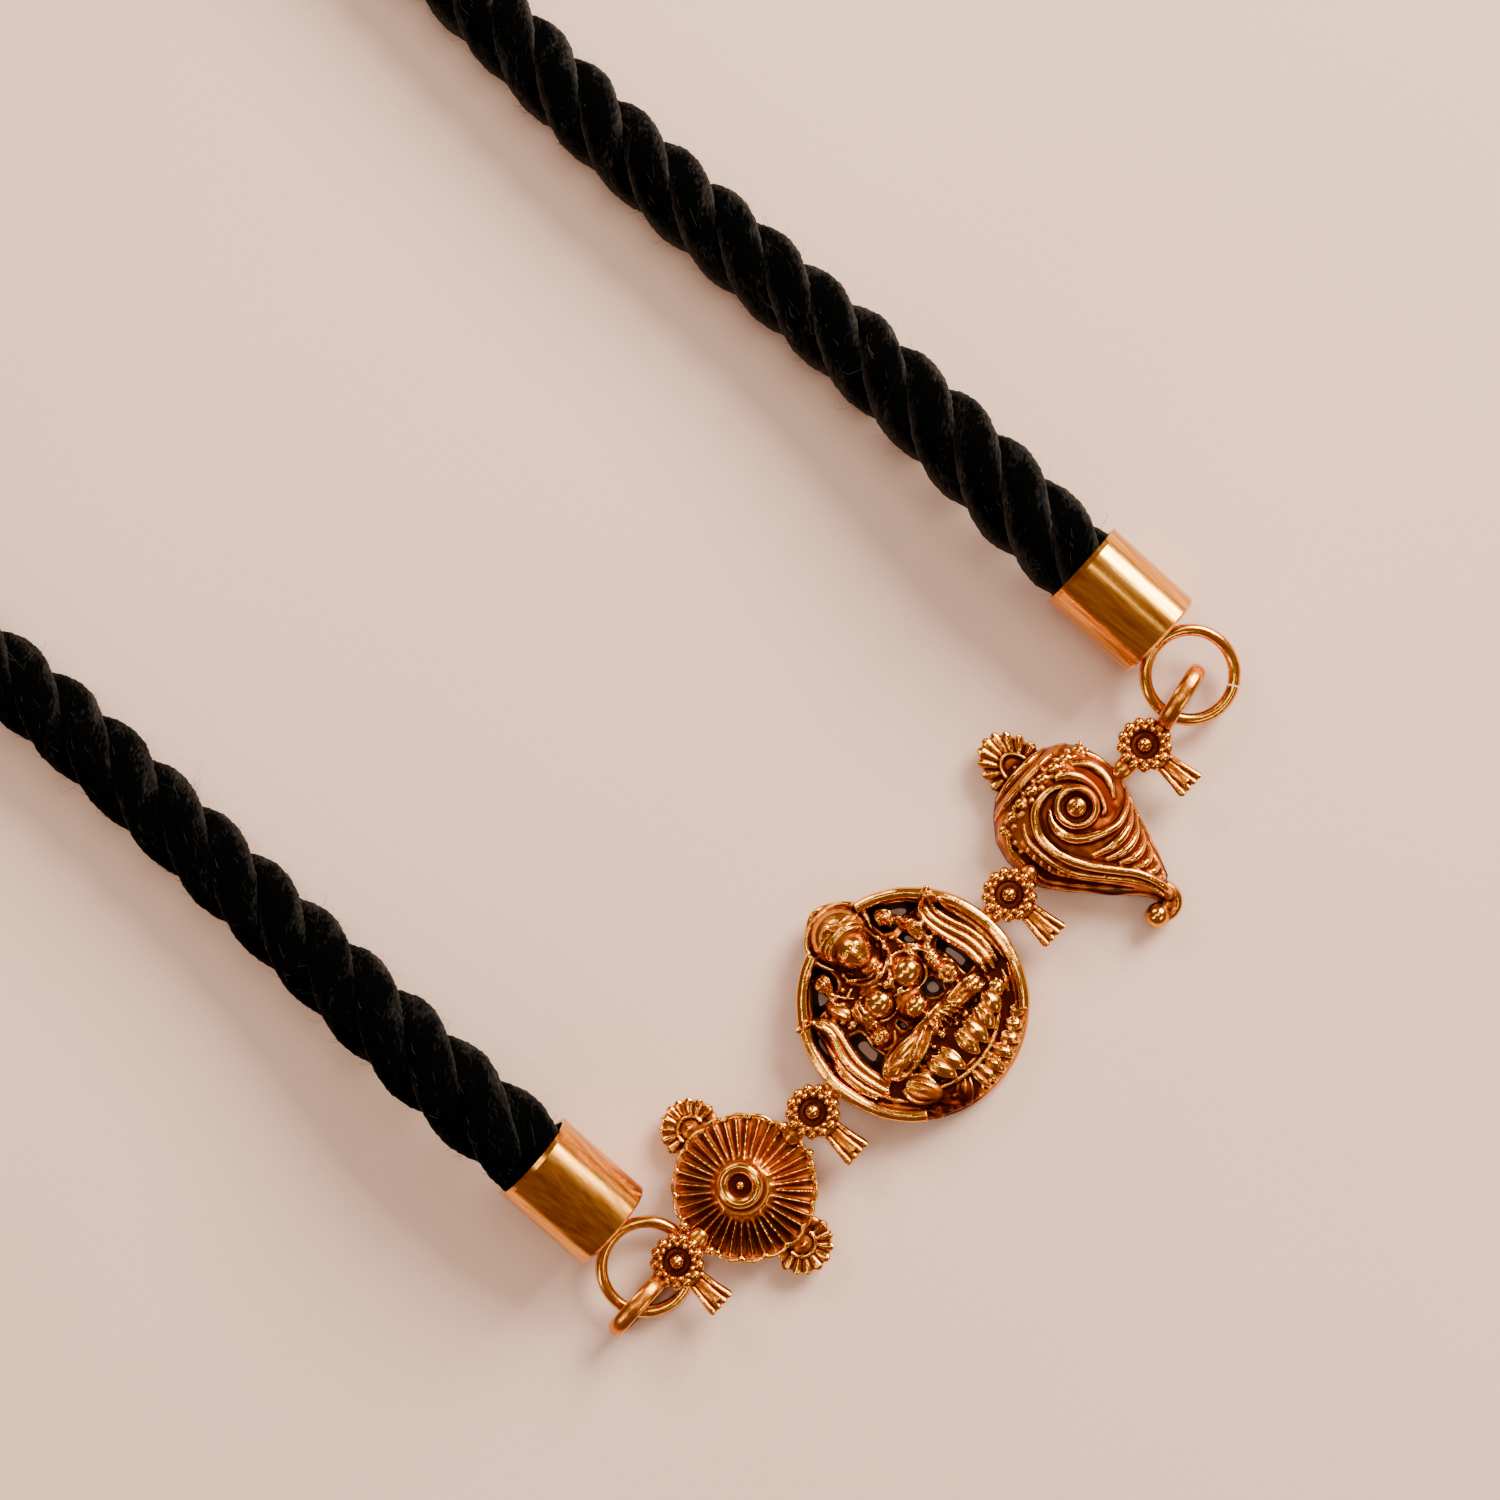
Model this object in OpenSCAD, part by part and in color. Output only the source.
// A cord necklace with a cast pendant bar, lying flat with its cord laid out in a whole loop.
// Millimetres. X runs along the pendant bar, +Y from the bar towards the clasp, +Z up.
// The origin is the middle of the roundel's flat back, on the surface that the necklace lies on.

/* [Rope] */
// Radius over the crests of the three-strand rope
rope_r = 3; // [2.7:0.05:3.1]
// Length of the left rope in one full turn of its strands
rope_left_pitch = 15.4; // [13:0.1:17]
// Length of the right rope in one full turn of its strands
rope_right_pitch = 14.3; // [13:0.1:17]
// How much thicker the rope swells where it leaves a cap
rope_swell = 0.08; // [0:0.01:0.1]

/* [Cord caps and their rings] */
// Outer radius of a cord cap
cap_r = 3.4; // [3.2:0.05:3.5]
// Length of a cord cap from its closed end to its mouth
cap_len = 7.5; // [7:0.1:8]
// Thickness of a cap's wall
cap_wall = 0.3; // [0.25:0.05:0.4]
// Thickness of a cap's closed end
cap_floor = 0.6; // [0.4:0.1:0.8]
// How far the mouth of the left cap tips up from the surface, in degrees
cap_left_tilt = 14; // [8:1:16]
// How far the mouth of the right cap tips up from the surface, in degrees
cap_right_tilt = 8; // [6:1:12]
// Radius of a cap's wire ring, to the middle of the wire
ring_r = 3.17; // [3:0.01:3.3]
// Thickness of the ring's wire
ring_wire = 0.88; // [0.8:0.02:0.95]

/* [Clasp] */
// Outer radius of the clasp's barrel
clasp_r = 3.6; // [3.4:0.1:4]
// Length of the clasp's barrel
clasp_len = 18; // [16:1:20]

/* [Roundel] */
// Radius of the roundel over its rim
roundel_r = 8.25; // [8:0.05:8.5]
// Height of the field behind the figure
field_z = 1.8; // [1.4:0.1:2]
// Height of the rim
rim_z = 3; // [2.6:0.1:3.4]

/* [Wheel] */
// Radius of the wheel over its lobes
wheel_r = 5.25; // [5:0.05:5.3]
// Number of lobes round the wheel's rim, each with two flutes
wheel_lobes = 18; // [14:1:22]
// Height of the hub's ring
hub_z = 4.2; // [3.6:0.1:4.6]

/* [Conch] */
// Height of the middle of the shell's body
shell_z = 3.8; // [3.2:0.1:4.2]
// Height of the body's straight edge
shell_edge = 1.6; // [1.2:0.1:2]

/* [Rosettes and end loops] */
// Radius of a rosette over its beads
rosette_r = 2; // [1.8:0.05:2.1]
// Number of beads in a rosette's ring
rosette_beads = 13; // [11:1:15]
// Number of rays in a fan
fan_rays = 8; // [6:1:10]
// Height of the underside of the rosettes, above the ring that lies under one of them
rosette_under = 1.95; // [1.9:0.05:2]

/* [Hidden] */

// Where each cap's closed end lies, and the direction that its ring tips
cap_left_end = [-25.7, 5.1];
cap_right_end = [30.85, 4.35];
ring_left = [-26.45, 1.5, 1.5];
ring_right = [30.35, 1.05, 2.2];
ring_slope = 12;
ring_left_roll = 5;
ring_slit = 0.12;
ring_slit_turn = -62;
solder_r = 0.6;

// The bevel of a cap's closed end, and the lip of its mouth
cap_bevel = 0.18;
cap_lip = [0.07, 0.35];

// The clasp's middle, and how deep each rope end goes into it
clasp_at = [2, 180, clasp_r];
clasp_socket = 6;
fit_gap = 0.08;
plug_r = cap_r - cap_wall - fit_gap;

// Points along the middle of each rope, from the mouth of its cap to the clasp's mouth
rope_right_route = [
    [30.95, 16, 4.75], [31.4, 22, 4.7], [31.85, 28, 4.2], [32.1, 35, 3.6], [32.15, 42, 3.15], [32.2, 50, 3.05],
    [32.45, 60, 3.05], [33.1, 70, 3.05], [34, 80, 3.05], [35, 90, 3.05], [36, 100, 3.05],
    [36.9, 110, 3.05], [37.5, 120, 3.05], [37.6, 130, 3.05], [37, 140, 3.05], [35.3, 150, 3.05],
    [32.2, 159, 3.05], [27.8, 167, 3.05], [22.4, 173.5, 3.15], [16.5, 178.3, 3.4]
];
rope_left_route = [
    [-25.85, 16, 5.6], [-26.1, 22, 5.4], [-26.3, 28, 4.6], [-26.5, 35, 3.7], [-26.65, 42, 3.2], [-26.75, 50, 3.05],
    [-27, 60, 3.05], [-27.7, 70, 3.05], [-28.7, 80, 3.05], [-29.9, 90, 3.05], [-31.2, 100, 3.05],
    [-32.4, 110, 3.05], [-33.2, 120, 3.05], [-33.5, 130, 3.05], [-33, 140, 3.05], [-31.4, 150, 3.05],
    [-28.4, 159, 3.05], [-24, 167, 3.05], [-18.5, 173.5, 3.15], [-12.5, 178.3, 3.4]
];
rope_step = 1.7;
rope_left_turn = 31;
rope_right_turn = -34;
rope_ply = [1, 0.8, 0.8];

// Middle of each part of the pendant bar
wheel_at = [-17.55, 0.1];
shell_boss_at = [17.95, 0.7];
rosette_x = [-24.5, -10.3, 10.3, 24.5];
bar_y = 0.1;
loop_x = 28.7;
loop_half_w = 2.7;
loop_half_h = 2.1;
loop_wall = 0.65;
loop_band = 1.15;
loop_right_turn = 10;

// Shell outline and crown line: distance up the bar's Y, left edge, right edge, height of the middle
shell_rows = [
    [5.6, 14.9, 19.4, 2.4],
    [4.7, 13.7, 20.9, 3],
    [3.4, 12.5, 21.8, 3.4],
    [1.9, 12, 22.1, shell_z - 0.1],
    [0.4, 12, 22.1, shell_z],
    [-1.1, 12.2, 21.6, shell_z],
    [-2.8, 13.3, 20.8, shell_z - 0.2],
    [-4.6, 14.9, 20, 3.2],
    [-6.2, 16.2, 19.3, 2.8],
    [-7.4, 16.9, 18.6, 2.4],
    [-8.4, 17.2, 18.2, 2]
];

// A closed solid through a row of sections with the same number of points
module skin(rings) {
    n = len(rings[0]);
    last = len(rings) - 1;
    sides = [
        for (k = [0 : last - 1], i = [0 : n - 1])
        let (j = (i + 1) % n, a = k * n + i, b = k * n + j)
        each [[a, a + n, b + n], [a, b + n, b]]
    ];
    polyhedron(
        points = [for (ring = rings) each ring],
        faces = concat([[for (i = [0 : n - 1]) i]], sides, [[for (i = [n - 1 : -1 : 0]) last * n + i]])
    );
}

// A closed band: the last section joins the first
module band(rings) {
    n = len(rings[0]);
    m = len(rings);
    polyhedron(
        points = [for (ring = rings) each ring],
        faces = [
            for (k = [0 : m - 1], i = [0 : n - 1])
            let (j = (i + 1) % n, p = k * n, q = ((k + 1) % m) * n)
            each [[p + i, q + j, q + i], [p + i, p + j, q + j]]
        ]
    );
}

function unit(v) = v / norm(v);
function mix(a, b, t) = a + (b - a) * t;
function smooth(t) = let (u = min(1, max(0, t))) u * u * (3 - 2 * u);

// A smooth line through points, and the distance along it at each of its own points
function curve(a, b, c, d, t) =
    0.5 * (2 * b + (c - a) * t + (2 * a - 5 * b + 4 * c - d) * t * t + (3 * b - a - 3 * c + d) * t * t * t);
function smooth_line(p, n) = concat([
    for (i = [0 : len(p) - 2], k = [0 : n - 1])
    let (a = i == 0 ? 2 * p[0] - p[1] : p[i - 1], d = i == len(p) - 2 ? 2 * p[i + 1] - p[i] : p[i + 2])
    curve(a, p[i], p[i + 1], d, k / n)
], [p[len(p) - 1]]);
function distances(p) = [
    for (i = 0, s = 0; i < len(p); i = i + 1, s = i < len(p) ? s + norm(p[i] - p[i - 1]) : s) s
];
function axis_table(p, d, k) = [for (i = [0 : len(p) - 1]) [d[i], p[i][k]]];

// A ring of points round a line's point, counted the right-handed way round its direction
function ring_at(p, t, radii, turn) =
    let (side = unit(cross(t, [0, 0, 1])), up = cross(t, side), n = len(radii))
    [
        for (i = [0 : n - 1])
        let (a = turn + 360 * i / n) p + radii[i] * (cos(a) * side + sin(a) * up)
    ];

// A round bar through points, with a radius at each of them
module rod(p, radii, n = 5) {
    last = len(p) - 1;
    skin([
        for (i = [0 : last])
        ring_at(p[i], unit(p[min(i + 1, last)] - p[max(i - 1, 0)]), [for (k = [0 : n - 1]) radii[i]], 180 / n)
    ]);
}

module ball(at, size, n = 8) {
    translate(at)
        scale(size)
            sphere(r = 1, $fn = n);
}

// One rope: three strands laid into a right-handed twist, pressed round inside its cap and the clasp
module rope(cap_end, tilt, route, side, pitch, turn) {
    axis = [0, cos(tilt), sin(tilt)];
    floor_at = [cap_end.x, cap_end.y, cap_r * cos(tilt)];
    inside = cap_len - cap_floor - fit_gap;
    start = floor_at + (cap_floor + fit_gap) * axis;
    mouth = floor_at + cap_len * axis;
    clasp_mouth = clasp_at + [side * clasp_len / 2, 0, 0];
    end = clasp_mouth - [side * (clasp_socket - fit_gap), 0, 0];
    p = smooth_line(concat([start, mix(start, mouth, 0.5), mouth], route, [clasp_mouth, end]), 8);
    d = distances(p);
    total = d[len(d) - 1];
    tx = axis_table(p, d, 0);
    ty = axis_table(p, d, 1);
    tz = axis_table(p, d, 2);
    count = round(total / rope_step);
    skin([
        for (i = [0 : count])
        let (
            s = total * i / count,
            at = [lookup(s, tx), lookup(s, ty), lookup(s, tz)],
            back = max(0, s - 0.4),
            ahead = min(total, s + 0.4),
            t = unit([lookup(ahead, tx) - lookup(back, tx), lookup(ahead, ty) - lookup(back, ty),
                lookup(ahead, tz) - lookup(back, tz)]),
            free = smooth((s - inside) / 3) * smooth((total - clasp_socket - s) / 3),
            crest = rope_r * (1 + rope_swell * (1 - smooth((s - inside) / 30)))
        )
        ring_at(at, t, [for (k = [0 : 8]) mix(plug_r, crest * rope_ply[k % 3], free)], turn + 360 * s / pitch)
    ]);
}

// A cord cap: a cup, closed towards the pendant, with a wire ring soldered on its closed end
module cap(end, tilt, ring_at, ring_roll) {
    color("orange") {
        translate([end.x, end.y, cap_r * cos(tilt)])
            rotate([tilt - 90, 0, 0])
                difference() {
                    union() {
                        cylinder(h = cap_bevel, r1 = cap_r - cap_bevel, r2 = cap_r, $fn = 64);
                        translate([0, 0, cap_bevel])
                            cylinder(h = cap_len - cap_bevel, r = cap_r, $fn = 64);
                        translate([0, 0, cap_len - cap_lip[1]])
                            cylinder(h = cap_lip[1], r1 = cap_r, r2 = cap_r + cap_lip[0], $fn = 64);
                    }
                    translate([0, 0, cap_floor])
                        cylinder(h = cap_len, r = cap_r - cap_wall, $fn = 64);
                }
        translate([ring_at.x, end.y, ring_at.z + ring_r * sin(ring_slope)])
            sphere(r = solder_r, $fn = 24);
        translate(ring_at)
            rotate([ring_slope, ring_roll, 0])
                difference() {
                    rotate_extrude($fn = 64)
                        translate([ring_r, 0])
                            circle(r = ring_wire / 2, $fn = 24);
                    rotate([0, 0, ring_slit_turn])
                        translate([0, -ring_slit / 2, -ring_wire])
                            cube([2 * ring_r, ring_slit, 2 * ring_wire]);
                }
    }
}

// The clasp: a plain closed barrel that both rope ends go into
module clasp() {
    color("goldenrod")
        translate(clasp_at)
            rotate([0, 90, 0])
                difference() {
                    cylinder(h = clasp_len, r = clasp_r, center = true, $fn = 64);
                    for (side = [-1, 1])
                        translate([0, 0, side * clasp_len / 2])
                            cylinder(h = 2 * clasp_socket, r = plug_r + fit_gap, center = true, $fn = 64);
                }
}

// A fan of raised rays round a half ring, turned about its foot
module fan(at, size, spread, under, turn = 0) {
    steps = 2 * fan_rays;
    foot = -1;
    rows = [[0.3, 0.6], [0.4, 1.15], [0.52, 0.75], [1, 0.5], [1, 0]];
    translate(at)
        rotate([0, 0, turn])
            skin([
                for (i = [0 : steps])
                let (a = 90 + spread * (2 * i / steps - 1), crest = i % 2)
                concat(
                    [[0.06 * cos(a), foot + 0.06 * sin(a), under]],
                    [
                        for (row = rows)
                        let (r = row[0] * (crest == 1 || row[0] < 1 ? 1 : 0.93), up = row[1] > 0.7 || row[1] == 0 ? 0 : 0.35)
                        [r * cos(a) * size.x, r * sin(a) * size.y, under + row[1] + up * crest]
                    ]
                )
            ]);
}

// A beaded ring round a small cup with a dot in it, and the fluted drop below it
module rosette(x) {
    n = 2 * rosette_beads;
    rows = [[0.7, 0, 0], [0.93, 0.15, 0.05], [0.95, 0.75, 0.05], [0.66, 0.95, -0.04], [0.58, 0.6, 0], [0.45, 0.85, 0],
        [0.32, 0.5, 0], [0.12, 0.8, 0]];
    translate([x, bar_y, 0]) {
        skin([
            for (row = rows)
            [
                for (i = [0 : n - 1])
                let (a = 360 * i / n, r = rosette_r * (row[0] + row[2] * (i % 2 == 0 ? 1 : -1)))
                [r * cos(a), r * sin(a), rosette_under + row[1]]
            ]
        ]);
        rosette_drop();
    }
}

// A fluted drop that widens downwards from a rosette
module rosette_drop() {
    rows = [[-1.7, 0.55], [-4.35, 1]];
    skin([
        for (row = rows)
        let (y = row[0], half = row[1], low = rosette_under - 0.1, deep = low + 0.45, high = low + 0.95)
        concat(
            [[-half, y, low], [half, y, low]],
            [for (k = [7 : -1 : 1]) [half * (k - 4) / 3.5, y - 0.12 * (k % 2), k % 2 == 1 ? high : deep]]
        )
    ]);
}

// A band loop that stands on edge at an end of the bar
module end_loop(turn) {
    n = 16;
    rotate([0, 0, turn])
        band([
            for (k = [0 : n - 1])
            let (a = 360 * k / n, h = loop_band / 2)
            [
                for (q = [[0, -0.7], [0.6, -1], [1, 0], [0.6, 1], [0, 0.7]])
                let (w = loop_half_w - loop_wall * q[0], v = loop_half_h - loop_wall * q[0])
                [w * cos(a), h * q[1], v * sin(a)]
            ]
        ]);
}

// The wheel: flutes that rise from its lobed rim to a ringed hub with a cup in it
module wheel() {
    n = 2 * wheel_lobes;
    rows = [[1, 0, 0.02], [1, 1.9, 0.02], [0.92, 2.3, 0], [0.6, 2.95, 0], [0.36, 3.4, 0], [0.34, hub_z - 0.3, 0],
        [0.27, hub_z, 0], [0.19, hub_z - 0.6, 0], [0.08, hub_z - 0.5, 0]];
    translate([wheel_at.x, wheel_at.y, 0])
        skin([
            for (row = rows) [
                for (i = [0 : n - 1])
                let (
                    a = 360 * i / n,
                    crest = i % 2 == 0 ? 1 : -1,
                    r = wheel_r * (row[0] - 0.02 + row[2] * crest),
                    flute = row[0] > 0.5 && row[0] < 1 ? 0.2 * crest : 0
                )
                [r * cos(a), r * sin(a), row[1] + flute]
            ]
        ]);
    fan([wheel_at.x + 0.45, wheel_at.y + 5.6, 0], [2.25, 2.2], 110, 0.9);
    fan([wheel_at.x - 0.1, wheel_at.y - 5.6, 0], [2.25, 2.3], 110, 0.9, 180);
}

// Height of the shell's domed body at a place on it
function shell_row(y, k) = lookup(y, [for (row = shell_rows) [row[0], row[k]]]);
function shell_top(x, y) =
    let (l = shell_row(y, 1), r = shell_row(y, 2), u = min(0.99, abs((2 * x - l - r) / (r - l))))
    shell_edge + (shell_row(y, 3) - shell_edge) * sqrt(1 - u * u);
function on_shell(p, lift = 0) = [for (q = p) [q[0], q[1], shell_top(q[0], q[1]) + lift]];

// The conch: a domed body, its spiral, lip, whorl ribs, collar and curled tail
module shell() {
    skin([
        for (row = shell_rows)
        let (l = row[1], r = row[2], mid = (l + r) / 2, half = (r - l) / 2)
        concat(
            [[l, row[0], 0], [r, row[0], 0]],
            [for (k = [0 : 8]) let (a = 180 * k / 8)
                [mid + half * cos(a), row[0], shell_edge + (row[3] - shell_edge) * sin(a)]]
        )
    ]);
    // Collar bands and the row of beads below them
    rod(on_shell([[14.4, 5.1], [17.2, 5.3], [19.9, 5.1]]), [0.25, 0.32, 0.25], 4);
    rod(on_shell([[13.8, 4.4], [15.2, 4.6], [17.2, 4.65], [19.2, 4.6], [20.8, 4.4]]), [0.2, 0.3, 0.3, 0.3, 0.2], 4);
    for (k = [0 : 7])
        let (x = 13.7 + k * 1.02, y = 3.7 - 0.02 * pow(k - 3.5, 2))
            ball([x, y, shell_top(x, y)], [0.4, 0.43, 0.32], 6);
    // The lip, which sweeps from the top over the left side and down to the tail
    rod(on_shell([[18.3, 2.8], [17, 2.9], [15.8, 2.4], [15, 1.2], [14.8, -0.4], [15.3, -2], [16.2, -3.7],
        [17.2, -5.4], [17.8, -6.9], [18, -8]]), [0.2, 0.34, 0.38, 0.4, 0.4, 0.38, 0.36, 0.33, 0.3, 0.25]);
    // The flare outside the lip
    rod(on_shell([[13.1, 3], [12.7, 1.2], [12.9, -0.9], [14, -2.9], [15.4, -4.6], [16.6, -6.1], [17.2, -7.4]]),
        [0.25, 0.4, 0.42, 0.4, 0.36, 0.32, 0.25], 4);
    // Spiral arms round the boss
    rod(on_shell([[16.7, 2.1], [15.9, 0.8], [16.2, -0.8], [17.3, -1.8], [18.8, -2.3], [20.2, -2.2]], 0.05),
        [0.15, 0.34, 0.36, 0.32, 0.28, 0.18]);
    rod(on_shell([[18.5, 3.2], [19.5, 2.3], [19.9, 0.8], [19.6, -0.4], [18.8, -1]], 0.05),
        [0.25, 0.4, 0.36, 0.28, 0.2]);
    // The boss, with a cup and a dot in it
    translate([shell_boss_at.x, shell_boss_at.y, 0])
        skin([
            for (row = [[1.45, 2.9], [1.3, shell_z + 0.5], [0.9, shell_z + 0.1], [0.35, shell_z + 0.4]])
            [for (i = [0 : 13]) [row[0] * cos(360 * i / 14), row[0] * sin(360 * i / 14), row[1]]]
        ]);
    // Whorl ribs across the lower right side
    for (k = [0 : 4])
        let (y = -2.9 - 1.05 * k, l = 16.9 + 0.3 * k, r = 20.5 - 0.42 * k)
            rod(on_shell([[l, y + 0.15], [mix(l, r, 0.5), y - 0.2], [r, y + 0.35]]), [0.2, 0.36, 0.2], 4);
    // The tail, which curls to a ball
    rod([[18, -7.6, 1.5], [17.95, -8.6, 1.4], [17.4, -9.2, 1.3], [16.7, -9.1, 1.2]], [0.62, 0.5, 0.42, 0.4]);
    ball([16.35, -8.6, 1.2], [1.05, 1.05, 1.05], 10);
    fan([17.35, 5.7, 0], [2.5, 3.3], 98, 1);
}

// A pointed petal with a ridge along it
module petal(foot, tip, half, low, high) {
    run = tip - foot;
    out = [-run.y, run.x] / norm(run);
    rows = [[0, 0.6, 0.7], [0.55, 1, 1], [1, 0.15, 0.5]];
    hull()
    skin([
        for (row = rows)
        let (p = foot + run * row[0], w = half * row[1], z = low + (high - low) * row[2])
        [
            [p.x + out.x * w, p.y + out.y * w, low],
            [p.x + out.x * w, p.y + out.y * w, mix(low, z, 0.6)],
            [p.x, p.y, z],
            [p.x - out.x * w, p.y - out.y * w, mix(low, z, 0.6)],
            [p.x - out.x * w, p.y - out.y * w, low]
        ]
    ]);
}

// The seated four-armed figure in relief, under a hood
module figure() {
    // Hood and its edge wire
    intersection() {
        ball([0.1, 6.8, 1.9], [2.45, 2.5, 1.7], 12);
        translate([-3, 3.1, 0.93])
            cube([6, 7, 4]);
    }
    rod([for (a = [-35 : 25 : 215]) [0.1 + 2.4 * cos(a), 6.85 + 2.4 * sin(a), 2.3]],
        [for (a = [-35 : 25 : 215]) 0.26], 4);
    // Crown, head and neck
    rod([[-1.3, 6.15, 3.3], [-0.8, 6.75, 3.7], [0.1, 7, 3.9], [1, 6.75, 3.7], [1.5, 6.15, 3.3]],
        [0.3, 0.35, 0.4, 0.35, 0.3], 4);
    ball([0.1, 5.3, 3], [1.2, 1.4, 1.25], 9);
    ball([0.05, 3.75, 2.2], [1.15, 1, 0.95], 7);
    // Torso, chest and belly
    ball([0.05, 1.9, 1.9], [2.6, 1.85, 1.25], 9);
    for (side = [-1, 1])
        ball([0.05 + side * 1.55, 1.75, 2.7], [1.1, 1.05, 1.1], 8);
    ball([0.1, -0.25, 2.1], [1.1, 1.25, 1.15], 8);
    // Necklace, with a heart-shaped drop
    rod([[-1.6, 4, 2.7], [0, 2.95, 3.1], [1.6, 4, 2.7]], [0.25, 0.3, 0.25], 4);
    ball([0, 1.95, 3.3], [0.45, 0.5, 0.45], 5);
    // Raised arms with lotus buds, and lowered arms with what the hands hold
    for (side = [-1, 1]) {
        rod([[side * 2.3, 2.9, 2.5], [side * 3.5, 2.5, 2.5], [side * 3.6, 4.6, 2.5]], [0.45, 0.5, 0.4]);
        petal([side * 3.5, 4.4], [side * 3.4, 6.3], 0.8, field_z - 0.3, 3.4);
        rod([[side * 2.6, 2.6, 2.6], [side * 3.2, 1.2, 2.7], [side * 3.3, 0.2, 2.7]], [0.55, 0.5, 0.42]);
        ball([side * 3.3, -0.4, 2.5], [0.8, 0.8, 0.8], 7);
    }
    // Crossed legs
    rod([[-0.6, -1.9, 2.6], [-2.6, -1.75, 2.8], [-4.4, -1.95, 2.6], [-5, -2.4, 2.3]], [0.75, 0.85, 0.8, 0.45], 6);
    rod([[0.6, -2, 2.6], [2.4, -1.8, 2.7], [3.9, -2.05, 2.5], [4.8, -2.5, 2.2]], [0.7, 0.8, 0.75, 0.4], 6);
    rod([[-3.6, -2.65, 2.6], [-0.6, -2.5, 2.95], [2.6, -2.9, 2.5]], [0.3, 0.5, 0.3]);
    // Pleated drapes along both sides
    for (side = [-1, 1], k = [0 : 1])
        rod([
            for (q = [[5.75, 4.3, 1.9], [5.4, 2.5, 2.15], [5.95, -0.4, 2.2], [5.45, -2.9, 1.95]])
            [side * (q[0] + 0.65 * (k - 0.4)), q[1] - 0.1 * k, q[2] - 0.15 * k]
        ], [0.25, 0.45, 0.48, 0.25], 4);
}

// The openings through the field: above the shoulders, beside the arms, at the waist, and at the rim
roundel_openings = [
    [[-5.7, 4.4], [-4.95, 5.3], [-4.05, 6.1], [-3.1, 6.75], [-2.45, 6.9], [-2.2, 6], [-2.25, 5.1], [-2.75, 4.55],
        [-3.5, 4.6], [-4, 4.15], [-5.3, 4.2]],
    [[2.5, 6.85], [3.45, 6.55], [4.45, 5.8], [5.2, 5.15], [5.6, 4.5], [5.05, 4.35], [4.4, 4.5], [3.6, 4.5],
        [2.9, 4.4], [2.2, 4.8], [2.15, 5.9]],
    [[2.7, 4], [3.35, 4], [3.75, 3.1], [3.55, 2.4], [3.1, 2.8], [2.75, 3.5]],
    [[-5.2, 1.65], [-4.75, 1.8], [-4, 1.5], [-3.9, 0.9], [-4.1, 0.15], [-4, -1.15], [-4.7, -1.4], [-5.2, -1.65],
        [-5.35, -0.6], [-5.35, 0.6]],
    [[4.05, 1.5], [4.5, 1.85], [4.8, 1.65], [5, 0.65], [5.15, -0.5], [5.05, -1.45], [4.4, -1.5], [4.1, -1.4],
        [4.15, -0.6], [4.2, 0.4]],
    [[1.05, 0.25], [1.35, 0.5], [2.1, 0.55], [2.5, 0.25], [2.5, -0.6], [2.25, -1.1], [1.6, -1], [1.15, -0.6]],
    [[-1.8, -0.05], [-1.4, 0], [-1.35, -0.75], [-1.65, -0.95], [-1.9, -0.6]],
    [[-6.9, 3.15], [-6.5, 4], [-6.05, 4.1], [-5.95, 3.1], [-6.25, 2.1], [-6.65, 1.15], [-6.95, 0.9], [-7.1, 1.7]]
];

// Two rows of lotus petals, the lower one over the rim
module lotus() {
    for (k = [-4 : 4])
        let (a = 270 + k * 15.5, foot = [1.05 * k, -2.9 + 0.035 * k * k], tip = 6.45 * [cos(a), sin(a)])
            petal(foot, tip, 0.68, field_z - 0.2, 3 - 0.06 * abs(k));
    for (k = [-3 : 3])
        let (a = 270 + k * 13, foot = 6.1 * [cos(a), sin(a)], tip = 8.35 * [cos(270 + k * 14), sin(270 + k * 14)])
            petal(foot, tip, k == 0 ? 0.6 : 0.85, 1, 3.35 - 0.12 * abs(k));
}

module roundel() {
    difference() {
        rotate_extrude($fn = 40)
            polygon([[0, 0], [roundel_r, 0], [roundel_r, rim_z - 0.4], [roundel_r - 0.35, rim_z],
                [roundel_r - 0.8, field_z], [0, field_z]]);
        for (opening = roundel_openings)
            translate([0, 0, -1])
                linear_extrude(field_z + 2)
                    polygon(opening);
    }
    figure();
    lotus();
}

// The pendant bar, one casting: roundel, wheel, conch, four rosettes with drops, and two end loops
module pendant() {
    color("darkgoldenrod") {
        roundel();
        wheel();
        shell();
        for (x = rosette_x)
            rosette(x);
        for (x = [-22.5, -12.3, -8.4, 8.4, 12.1, 22.3])
            translate([x - 0.7, bar_y - 0.7, 1.6])
                cube([1.4, 1.4, 0.8]);
        translate([-loop_x, bar_y, loop_half_h])
            end_loop(0);
        translate([loop_x, bar_y + 0.35, loop_half_h])
            end_loop(loop_right_turn);
    }
}

module rope_left() {
    color([0.16, 0.15, 0.14])
        rope(cap_left_end, cap_left_tilt, rope_left_route, -1, rope_left_pitch, rope_left_turn);
}

module rope_right() {
    color([0.16, 0.15, 0.14])
        rope(cap_right_end, cap_right_tilt, rope_right_route, 1, rope_right_pitch, rope_right_turn);
}

pendant();
cap(cap_left_end, cap_left_tilt, ring_left, ring_left_roll);  // cap_left
cap(cap_right_end, cap_right_tilt, ring_right, 0);  // cap_right
rope_left();
rope_right();
clasp();  // back_clasp
